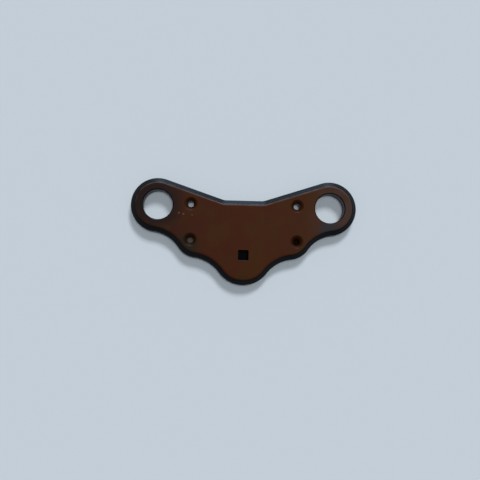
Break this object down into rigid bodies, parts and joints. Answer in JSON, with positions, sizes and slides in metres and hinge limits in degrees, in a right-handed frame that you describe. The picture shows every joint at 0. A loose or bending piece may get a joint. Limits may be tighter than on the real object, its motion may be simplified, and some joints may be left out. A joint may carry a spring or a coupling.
{
  "type": "motorcycle triple clamp",
  "caption": "Flat top clamp plate of a small motorcycle fork: closed fork rings at both ends, bevelled face, countersunk screw holes and a square pocket in the rounded nose.",
  "frame": {"origin": "midway between the two fork bores, on the back face", "axes": "+X along the line of the fork bores, +Y away from the nose, +Z out of the bevelled face"},
  "size_m": [0.2364, 0.1102, 0.016],
  "materials": {
    "coated_plate": "satin"
  },
  "bodies": {
    "root": {"clamp_plate": "coated_plate"}
  },
  "joints": []
}
